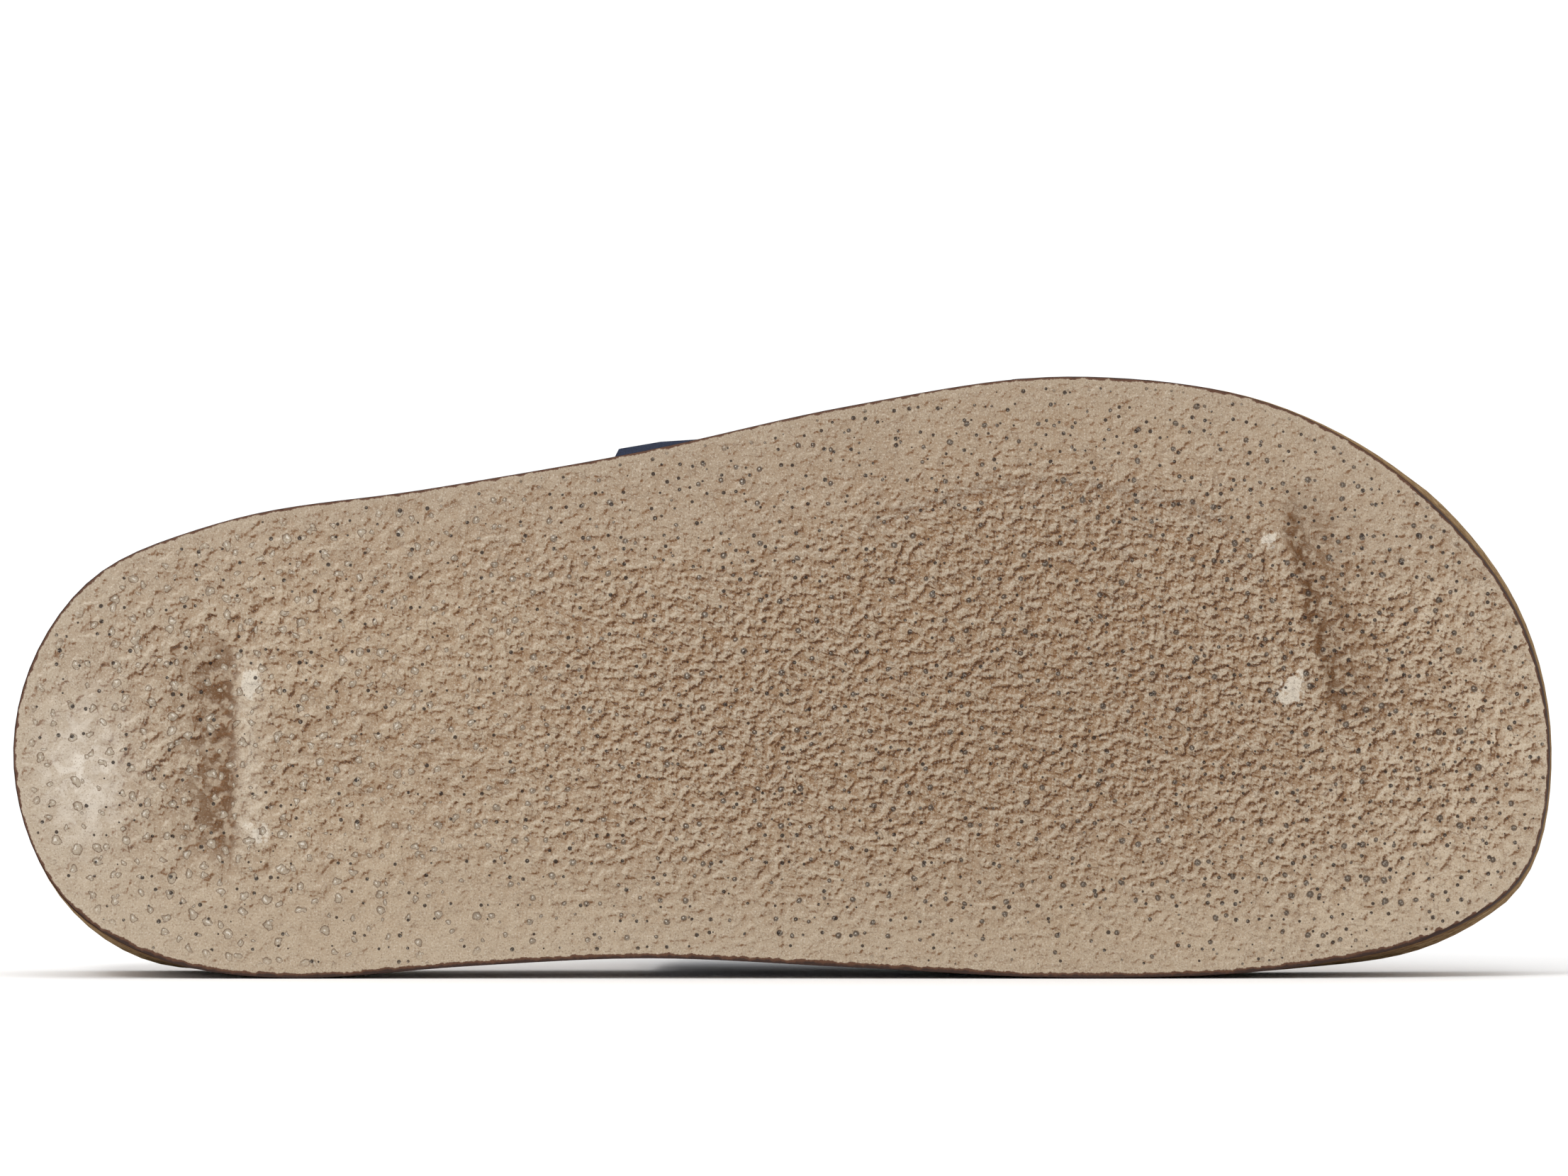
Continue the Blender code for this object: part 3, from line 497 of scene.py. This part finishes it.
# Stain and painted shade, brown in the hollows of the skin over the bars
hollow = fade(look, skin, 0.00012, -0.00010, 0.15, 1.0)
colour = mix(look, times(look, stain_and_shade_mask, hollow), colour, BROWN_STAIN_AND_SHADE)
# Painted shade on the lower right side of each fold
colour = mix(look, fade(look, relief_shading, 0.00002, 0.00012, 0.0, 0.9), colour, PAINTED_FOLD_SHADE)
colour = mix(look, fade(look, relief_shading, 0.00009, 0.00020, 0.0, 0.7), colour, DEEP_PAINTED_FOLD_SHADE)
crease = sums(look, "ABSOLUTE", sums(look, "SUBTRACT", noise(look, flat, 430, 1.0), 0.5))
crease = times(look, fade(look, crease, 0.0, 0.05, 1.0, 0.0), fade(look, noise(look, flat, 290), 0.48, 0.58))
crease = times(look, crease, dirt_and_shade_reach)
colour = mix(look, times(look, crease, 0.6), colour, CREASE_SHADE)
outside_stain_and_shade = sums(look, "MULTIPLY_ADD", stain_and_shade_mask, -0.6, 1.0)
# Painted highlight on the upper left side of each fold
colour = mix(look, times(look, fade(look, relief_shading, -0.00003, -0.00015, 0.0, 0.40), outside_stain_and_shade), colour, PAINTED_FOLD_HIGHLIGHT)

# Wear and painted light: a painted highlight along the top of the heel bar's step, the four worn spots, and
# the polished patch at the heel, glossier and with a painted sheen
blotch = noise(look, flat, 300, 4, 0.65, 0.6)
# Painted highlight where the heel bar's step faces the light
step_highlight = times(look, stored(look, "step_highlight"), fade(look, blotch, 0.4, 0.6, 0.25, 0.7))
colour = mix(look, step_highlight, colour, PAINTED_STEP_HIGHLIGHT)
scuffs = fade(look, noise(look, flat, 380, 3, 0.6), 0.3, 0.7, -0.35, 0.35)
spots = sums(look, "ADD", stored(look, "worn"), scuffs)
colour = mix(look, fade(look, spots, 0.42, 0.66, 0.0, 0.9), colour, WORN_SPOT)
# Painted sheen over the polished patch at the heel
colour = mix(look, times(look, shine, fade(look, blotch, 0.35, 0.6, 0.85, 0.3)), colour, PAINTED_HEEL_SHEEN)

# Burst bubbles, which are wide, bent and glassy at the heel and small under the ball, with painted shade
# round each rim, a fill painted dark as shade under the ball and a painted glint; then round pits and the
# foam's own cells, each painted dark inside as shade, and its grain
BUBBLE_SCALE = 300.0
PIT_SCALE = 400.0
CELL_SCALE = 1700.0
GRAIN_SCALE = 3000
GLINT_SHIFT = (0.00008, -0.00010, 0)


def holes(place, scale, smallest, largest, kept):
    """How far inside a hole a point is, from 0 at its edge to 1 at its middle."""
    cells = add(look, "ShaderNodeTexVoronoi", {"Vector": place, "Scale": scale}, voronoi_dimensions="2D")
    chance = add(look, "ShaderNodeSeparateXYZ", {0: cells.outputs["Color"]})
    sizes = {"Value": chance.outputs[0], "To Min": smallest, "To Max": largest}
    size = add(look, "ShaderNodeMapRange", sizes).outputs[0]
    size = times(look, size, sums(look, "LESS_THAN", chance.outputs[1], kept))
    gap = sums(look, "DIVIDE", cells.outputs["Distance"], sums(look, "MULTIPLY_ADD", size, scale, 0.001))
    return sums(look, "MAXIMUM", sums(look, "SUBTRACT", 1.0, gap), 0.0)


sway = add(look, "ShaderNodeTexNoise", {"Vector": flat, "Scale": 600.0, "Detail": 1.0}, noise_dimensions="2D")
swing = {0: sway.outputs["Color"], "Scale": fade(look, along, 0.05, 0.12, 0.0014, 0.0004)}
sway = add(look, "ShaderNodeVectorMath", swing, operation="SCALE").outputs[0]
bent = add(look, "ShaderNodeVectorMath", {0: flat, 1: sway}).outputs[0]
shifted = add(look, "ShaderNodeVectorMath", {0: bent, 1: GLINT_SHIFT}).outputs[0]
narrowest = fade(look, along, 0.04, 0.11, 0.00040, 0.00022)
widest = fade(look, along, 0.04, 0.11, 0.00092, 0.00066)
widest = sums(look, "ADD", widest, fade(look, along, 0.19, 0.25, 0.0, 0.00008))
share = sums(look, "ADD", fade(look, along, 0.05, 0.11, 0.95, 0.50), fade(look, along, 0.19, 0.25, 0.0, 0.08))
bubbles = holes(bent, BUBBLE_SCALE, narrowest, widest, share)
glints = holes(shifted, BUBBLE_SCALE, narrowest, widest, share)
whole = fade(look, trim, 0.001, 0.004)
pools = times(look, fade(look, bubbles, 0.10, 0.35), whole)
rim_shade = times(look, fade(look, bubbles, 0.0, 0.12), fade(look, bubbles, 0.55, 0.25), whole)
# Painted shade round each bubble's rim
colour = mix(look, times(look, rim_shade, fade(look, along, 0.05, 0.14, 0.9, 0.6)), colour, BUBBLE_RIM_SHADE)
bubble_fill = mix(look, fade(look, along, 0.05, 0.14), HEEL_BUBBLE, BALL_BUBBLE_SHADE)
# Fill of each bubble: greyer at the heel, and painted dark as shade under the ball
colour = mix(look, times(look, pools, 0.8), colour, bubble_fill)
lit = times(look, fade(look, along, 0.11, 0.19, 0.75, 0.2), whole)
# Painted glint near each bubble's middle, fainter under the ball
colour = mix(look, times(look, fade(look, glints, 0.72, 0.84), lit), colour, BUBBLE_GLINT)
pitted = sums(look, "MAXIMUM", calm, fade(look, along, 0.19, 0.24))
pits = holes(flat, PIT_SCALE, 0.00013, 0.00044, fade(look, pitted, 0.0, 1.0, 0.34, 0.66))
pits = times(look, fade(look, pits, 0.0, 0.3), fade(look, trim, 0.0005, 0.002))
# Painted shade: dark inside each pit
colour = mix(look, times(look, pits, 0.92), colour, PIT_SHADE)
cells = holes(flat, CELL_SCALE, 0.00004, 0.00013, fade(look, along, 0.03, 0.12, 0.35, 0.75))
# Painted shade: darker inside the foam's small cells
colour = mix(look, fade(look, cells, 0.0, 0.4, 0.0, 0.5), colour, CELL_SHADE)
grain = noise(look, flat, GRAIN_SCALE, 2, 0.7)
colour = mix(look, fade(look, grain, 0.60, 0.72, 0.0, 0.5), colour, DARK_GRAIN)
colour = mix(look, times(look, fade(look, grain, 0.42, 0.30, 0.0, 0.5), outside_stain_and_shade), colour, PALE_GRAIN)

# Trimmed edge: a ragged burnished line, wider on the inner side, then the sanded side
ragged = sums(look, "MULTIPLY_ADD", noise(look, flat, 480, 4, 0.65), 0.0012, 0.0003)
ragged = sums(look, "SUBTRACT", trim, ragged)
ragged = sums(look, "SUBTRACT", ragged, fade(look, up, 0.018, 0.006, 0.0, 0.0005))
colour = mix(look, fade(look, ragged, -0.0005, -0.0007), colour, BURNISHED)
colour = mix(look, fade(look, ragged, -0.0008, -0.0012), colour, DARK_BURNISHED)
grit = fade(look, noise(look, solid, 1300, 4, 0.7, 0, "3D"), 0.36, 0.64)
colour = mix(look, fade(look, ragged, -0.0020, -0.0028), colour, mix(look, grit, SANDED_DARK, SANDED_PALE))
look.links.new(colour, shader.inputs["Base Color"])

BUBBLE_DEPTH = 0.00012
PIT_DEPTH = 0.00015
CREASE_DEPTH = 0.00010
GRAIN_DEPTH = 0.00006
gloss = sums(look, "SUBTRACT", fade(look, along, 0.02, 0.09, 0.44, 0.56), times(look, shine, 0.14))
look.links.new(sums(look, "SUBTRACT", gloss, times(look, pools, 0.26)), shader.inputs["Roughness"])
skin = sums(look, "SUBTRACT", skin, times(look, fade(look, bubbles, 0.0, 0.7), whole, BUBBLE_DEPTH))
skin = sums(look, "SUBTRACT", skin, times(look, pits, PIT_DEPTH))
skin = sums(look, "SUBTRACT", skin, times(look, crease, CREASE_DEPTH))
skin = sums(look, "ADD", skin, times(look, noise(look, flat, 2400, 3, 0.6), GRAIN_DEPTH))
bump = add(look, "ShaderNodeBump", {"Height": skin, "Distance": 1.0, "Strength": 0.9})
look.links.new(bump.outputs[0], shader.inputs["Normal"])
shader.inputs["Specular IOR Level"].default_value = 0.25
trimmed = rubber.copy()
trimmed.name = "trimmed_rubber"
trimmed.node_tree.nodes["Principled BSDF"].inputs["Specular IOR Level"].default_value = 0.0
outsole.data.materials.append(rubber)
outsole.data.materials.append(trimmed)
for face in outsole.data.polygons:
    face.material_index = int(all(inset[vertex] < 0 for vertex in face.vertices))
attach(outsole, "root")
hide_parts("outsole")

# Footbed: ground cork bound with latex, pressed to the foot's shape with a heel cup, an arch and
# a raised rim, then sanded round its side. The glued outsole hides its underside, and its side is
# darker in a thin line just under the rim.
RIM_REACH = 0.007
RIM_LINE = (0.0016, 0.0010)
DARK_CORK = paint(130, 105, 76)
PALE_CORK = paint(160, 135, 102)
DARK_SPECK = paint(100, 73, 46)
PALE_SPECK = paint(188, 160, 122)
RIM_DARK_LINE = paint(62, 44, 34)

footbed = node_copy("cork_footbed", "footbed")
round_off(footbed, levels=1, sharp=50)
points = points_of(footbed)
height = sole_height(points)
plan = points.copy()
plan[:, 1] = 0
tree = KDTree(len(plan))
for index, point in enumerate(plan):
    tree.insert(point, index)
tree.balance()
top = [max(height[found[1]] for found in tree.find_range(point, RIM_REACH)) for point in plan]
store(footbed, "below_rim", np.array(top) - height)
bpy.ops.object.shade_smooth_by_angle(angle=math.radians(32))

cork = bpy.data.materials.new("pressed_cork")
cork.use_nodes = True
look = cork.node_tree
shader = look.nodes["Principled BSDF"]
place = look.nodes.new("ShaderNodeTexCoord").outputs["Object"]
crumbs = add(look, "ShaderNodeTexVoronoi", {"Vector": place, "Scale": 800.0, "Randomness": 1.0})
speck = add(look, "ShaderNodeSeparateXYZ", {0: crumbs.outputs["Color"]}).outputs[0]
mottle = noise(look, place, 900, 3, 0.6, 0, "3D")
colour = mix(look, fade(look, mottle, 0.3, 0.7), DARK_CORK, PALE_CORK)
colour = mix(look, fade(look, speck, 0.80, 0.88, 0.0, 0.7), colour, DARK_SPECK)
colour = mix(look, fade(look, speck, 0.2, 0.1, 0.0, 0.6), colour, PALE_SPECK)
# Darker in a thin line just under the rim
colour = mix(look, fade(look, stored(look, "below_rim"), *RIM_LINE), colour, RIM_DARK_LINE)
look.links.new(colour, shader.inputs["Base Color"])
shader.inputs["Roughness"].default_value = 0.8
shader.inputs["Specular IOR Level"].default_value = 0.0
depth = sums(look, "MULTIPLY_ADD", crumbs.outputs["Distance"], 0.4, mottle)
bump = add(look, "ShaderNodeBump", {"Height": depth, "Distance": 0.0004, "Strength": 0.6})
look.links.new(bump.outputs[0], shader.inputs["Normal"])
footbed.data.materials.append(cork)
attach(footbed, "root")
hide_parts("footbed")

# Insole: a sheet of suede glued over the footbed inside its rim, nap side up. Wear has darkened
# and flattened the nap in patches.
DARK_NAP = paint(150, 122, 93)
PALE_NAP = paint(182, 154, 122)
FLAT_NAP = paint(128, 100, 74)

insole = node_copy("suede_insole", "insole")
bpy.ops.object.shade_smooth_by_angle(angle=math.radians(40))
suede = bpy.data.materials.new("suede")
suede.use_nodes = True
look = suede.node_tree
shader = look.nodes["Principled BSDF"]
place = look.nodes.new("ShaderNodeTexCoord").outputs["Object"]
nap = noise(look, place, 2600, 3, 0.65, 0, "3D")
patches = noise(look, place, 90, 3, 0.55, 0.6, "3D")
colour = mix(look, fade(look, nap, 0.3, 0.7), DARK_NAP, PALE_NAP)
colour = mix(look, fade(look, patches, 0.42, 0.7, 0.0, 0.35), colour, FLAT_NAP)
look.links.new(colour, shader.inputs["Base Color"])
shader.inputs["Roughness"].default_value = 0.95
shader.inputs["Sheen Weight"].default_value = 0.35
shader.inputs["Sheen Roughness"].default_value = 0.5
bump = add(look, "ShaderNodeBump", {"Height": nap, "Distance": 0.0003, "Strength": 0.5})
look.links.new(bump.outputs[0], shader.inputs["Normal"])
insole.data.materials.append(suede)
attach(insole, "root")
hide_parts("insole")

# Upper: two pieces of dark blue leather lined with pale leather, cut with rounded painted edges
# and lasted under the footbed. The inner one ends in two long straps, the outer one in two tabs
# rolled round the buckles' bars.
EDGE_ROUND = 0.0005
SHORTEST_EDGE = 0.001
FOOT_MIDDLE = 0.028
LINING_TURN = -0.5
POLISH_HEIGHTS = (0.034, 0.052)
DARK_BLUE = paint(23, 33, 57)
PALE_BLUE = paint(28, 39, 65)
PORE = paint(14, 21, 38)
DARK_LINING = paint(128, 110, 92)
PALE_LINING = paint(164, 146, 124)

leather = bpy.data.materials.new("blue_leather")
leather.use_nodes = True
look = leather.node_tree
shader = look.nodes["Principled BSDF"]
place = look.nodes.new("ShaderNodeTexCoord").outputs["Object"]
pores = add(look, "ShaderNodeTexVoronoi", {"Vector": place, "Scale": 1100.0, "Randomness": 1.0},
            feature="DISTANCE_TO_EDGE").outputs["Distance"]
tone = noise(look, place, 260, 4, 0.6, 0.3, "3D")
colour = mix(look, fade(look, tone, 0.3, 0.7), DARK_BLUE, PALE_BLUE)
colour = mix(look, fade(look, pores, 0.08, 0.0), colour, PORE)
look.links.new(colour, shader.inputs["Base Color"])
polish = fade(look, stored(look, "rise"), *POLISH_HEIGHTS, 0.96, 0.44)
look.links.new(sums(look, "ADD", polish, fade(look, tone, 0.3, 0.7, 0.0, 0.1)), shader.inputs["Roughness"])
shader.inputs["Specular IOR Level"].default_value = 0.2
depth = fade(look, pores, 0.0, 0.16)
bump = add(look, "ShaderNodeBump", {"Height": depth, "Distance": 0.0001, "Strength": 0.6})
look.links.new(bump.outputs[0], shader.inputs["Normal"])

lining = bpy.data.materials.new("pale_lining")
lining.use_nodes = True
look = lining.node_tree
shader = look.nodes["Principled BSDF"]
place = look.nodes.new("ShaderNodeTexCoord").outputs["Object"]
nap = noise(look, place, 1800, 3, 0.6, 0, "3D")
look.links.new(mix(look, nap, DARK_LINING, PALE_LINING), shader.inputs["Base Color"])
shader.inputs["Roughness"].default_value = 0.9
bump = add(look, "ShaderNodeBump", {"Height": nap, "Distance": 0.0002, "Strength": 0.4})
look.links.new(bump.outputs[0], shader.inputs["Normal"])

for name, node in (("upper_inner", "upper_medial"), ("upper_outer", "upper_lateral")):
    upper = node_copy(name, node)
    bpy.ops.object.mode_set(mode="EDIT")
    bpy.ops.mesh.select_mode(type="EDGE")
    bpy.ops.mesh.select_all(action="DESELECT")
    bm = bmesh.from_edit_mesh(upper.data)
    for edge in bm.edges:
        if edge.is_manifold and edge.calc_length() > SHORTEST_EDGE:
            edge.select_set(edge.calc_face_angle() > math.radians(60))
    bmesh.update_edit_mesh(upper.data)
    bpy.ops.mesh.bevel(offset=EDGE_ROUND, segments=2, affect="EDGES", clamp_overlap=True)
    bpy.ops.object.mode_set(mode="OBJECT")
    bpy.ops.object.shade_smooth_by_angle(angle=math.radians(38))
    store(upper, "rise", sole_height(points_of(upper)))
    upper.data.materials.append(leather)
    upper.data.materials.append(lining)
    for face in upper.data.polygons:
        away = face.center - Vector((face.center.x, sole_point[1] + FOOT_MIDDLE, sole_point[2]))
        face.material_index = int(face.normal.dot(away.normalized()) < LINING_TURN)
    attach(upper, "root")
    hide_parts(node)

# Buckles: round brass wire bent to a frame with the bar through the tab's roll, and a prong bent
# round the bar that passes through the strap and rests on the frame's far side.
DARK_BRASS = paint(166, 138, 92)
PALE_BRASS = paint(206, 180, 132)

brass = bpy.data.materials.new("satin_brass")
brass.use_nodes = True
look = brass.node_tree
shader = look.nodes["Principled BSDF"]
place = look.nodes.new("ShaderNodeTexCoord").outputs["Object"]
rub = noise(look, place, 700, 4, 0.65, 0, "3D")
look.links.new(mix(look, rub, DARK_BRASS, PALE_BRASS), shader.inputs["Base Color"])
look.links.new(fade(look, rub, 0.3, 0.75, 0.24, 0.44), shader.inputs["Roughness"])
shader.inputs["Metallic"].default_value = 1.0
for part in ("rear_frame", "rear_prong", "front_frame", "front_prong"):
    wire = node_copy("brass_" + part, "buckle_" + part)
    smooth = wire.modifiers.new("Smooth", "SUBSURF")
    smooth.levels = smooth.render_levels = 2
    bpy.ops.object.modifier_apply(modifier="Smooth")
    bpy.ops.object.shade_smooth_by_angle(angle=math.radians(50))
    wire.data.materials.append(brass)
    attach(wire, "root")
    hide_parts("buckle_" + part)

# Studio: a white floor that ends out of sight in a white room, a wide light overhead a little in
# front of the sole, a smaller one from its upper left, and a distant camera square to the sole.
FLOOR_SIZE = 2.2
FLOOR_MIDDLE = (0, -0.5, 0)
ROOM_LIGHT = 0.90
ROOM_SEEN = 1.1
SENSOR = 36
LENS = 200
FRAME_WIDTH = 0.2765
CAMERA_SIDE = 0.0002
CAMERA_HEIGHT = 0.0689
SOLE_PLANE = -0.0454

bpy.ops.mesh.primitive_plane_add(size=FLOOR_SIZE, location=FLOOR_MIDDLE)
floor = bpy.context.object
floor.name = "floor"
white = bpy.data.materials.new("white_floor")
white.use_nodes = True
white.node_tree.nodes["Principled BSDF"].inputs["Base Color"].default_value = (0.95, 0.95, 0.95, 1)
white.node_tree.nodes["Principled BSDF"].inputs["Roughness"].default_value = 0.8
floor.data.materials.append(white)

world = bpy.data.worlds.new("studio")
bpy.context.scene.world = world
world.use_nodes = True
sky = world.node_tree
seen = add(sky, "ShaderNodeLightPath", {}).outputs["Is Camera Ray"]
levels = {"Value": seen, "To Min": ROOM_LIGHT, "To Max": ROOM_SEEN}
strength = add(sky, "ShaderNodeMapRange", levels).outputs[0]
sky.nodes["Background"].inputs["Color"].default_value = (1, 1, 1, 1)
sky.links.new(strength, sky.nodes["Background"].inputs["Strength"])


def soft_light(name, place, aim, size, power):
    """Square light of one size, turned to its aim."""
    bpy.ops.object.light_add(type="AREA", location=place)
    made = bpy.context.object
    made.name = name
    made.data.shape = "SQUARE"
    made.data.size = size
    made.data.energy = power
    made.rotation_euler = (Vector(aim) - Vector(place)).to_track_quat("-Z", "Y").to_euler()


soft_light("overhead_light", place=(0, -0.25, 1.30), aim=(0, -0.05, 0), size=1.2, power=5.5)
soft_light("key_light", place=(-0.60, -0.75, 0.95), aim=(0, -0.04, 0.05), size=0.4, power=5.2)

camera_place = (CAMERA_SIDE, SOLE_PLANE - FRAME_WIDTH * LENS / SENSOR, CAMERA_HEIGHT)
bpy.ops.object.camera_add(location=camera_place, rotation=(math.pi / 2, 0, 0))
camera = bpy.context.object
camera.data.lens = LENS
camera.data.sensor_width = SENSOR
camera.data.clip_start = 0.01
bpy.context.scene.camera = camera
bpy.context.scene.view_settings.view_transform = "Standard"
